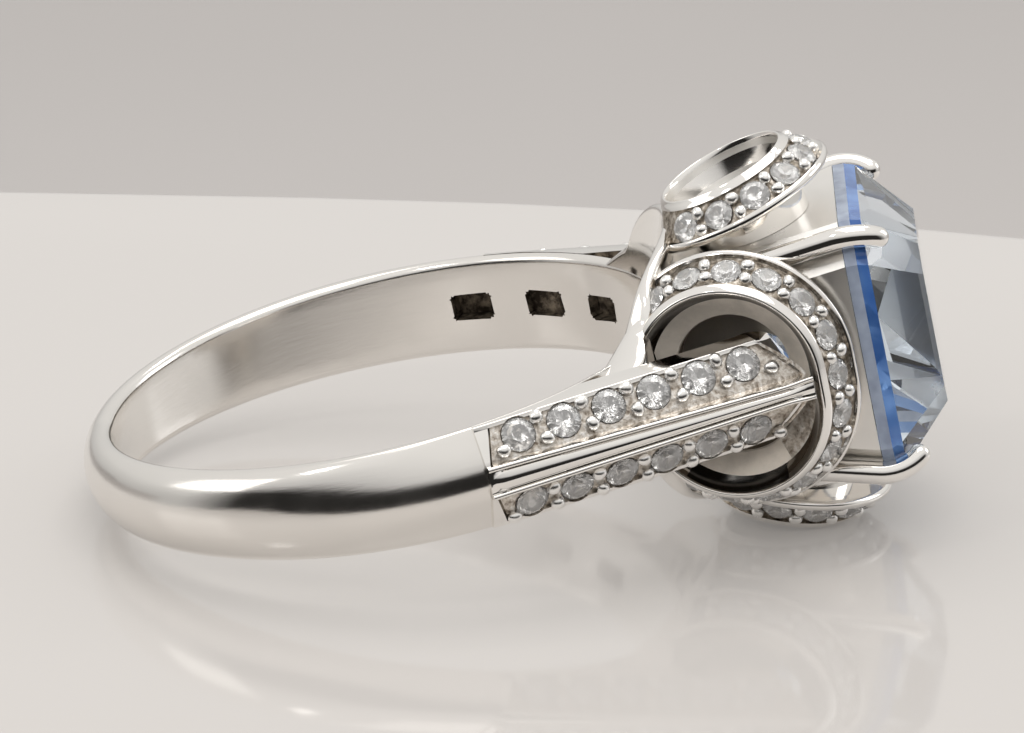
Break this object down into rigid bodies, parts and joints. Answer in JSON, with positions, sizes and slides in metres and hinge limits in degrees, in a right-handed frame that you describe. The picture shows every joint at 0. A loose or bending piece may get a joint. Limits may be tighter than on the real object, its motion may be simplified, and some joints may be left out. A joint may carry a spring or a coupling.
{
  "type": "cocktail ring",
  "caption": "Cocktail ring with a half-round band, stone-set shoulders, looped ribbons round a raised basket, and a square faceted blue stone held by corner prongs.",
  "frame": {"origin": "centre of the finger hole, at the middle of the band's width", "axes": "+Z along the finger hole towards the upper loop, +X from the finger hole to the centre stone, +Y across the head to the far shoulder"},
  "size_m": [0.0265, 0.0194, 0.0124],
  "materials": {
    "polished_silver": "polished",
    "cast_silver": "satin",
    "blue_stone": "faceted, polished",
    "clear_stone": "faceted, polished"
  },
  "bodies": {
    "root": {"band": "polished_silver", "gallery_plate": "cast_silver", "basket": "cast_silver", "centre_stone": "blue_stone", "shoulder_near": "cast_silver", "spine_near": "polished_silver", "shoulder_far": "cast_silver", "spine_far": "polished_silver", "prong_upper_near": "polished_silver", "prong_upper_far": "polished_silver", "prong_lower_near": "polished_silver", "prong_lower_far": "polished_silver", "loop_near": "cast_silver", "front_rim_near": "polished_silver", "back_rim_near": "polished_silver", "loop_stones_near": "clear_stone", "loop_beads_near": "polished_silver", "loop_far": "cast_silver", "front_rim_far": "polished_silver", "back_rim_far": "polished_silver", "loop_stones_far": "clear_stone", "loop_beads_far": "polished_silver", "loop_upper": "cast_silver", "front_rim_upper": "polished_silver", "back_rim_upper": "polished_silver", "loop_stones_upper": "clear_stone", "loop_beads_upper": "polished_silver", "loop_lower": "cast_silver", "front_rim_lower": "polished_silver", "back_rim_lower": "polished_silver", "loop_stones_lower": "clear_stone", "loop_beads_lower": "polished_silver", "row_stones_near_top": "clear_stone", "row_beads_near_top": "polished_silver", "row_stones_near_bottom": "clear_stone", "row_beads_near_bottom": "polished_silver", "row_stones_far_top": "clear_stone", "row_beads_far_top": "polished_silver", "row_stones_far_bottom": "clear_stone", "row_beads_far_bottom": "polished_silver"}
  },
  "joints": []
}
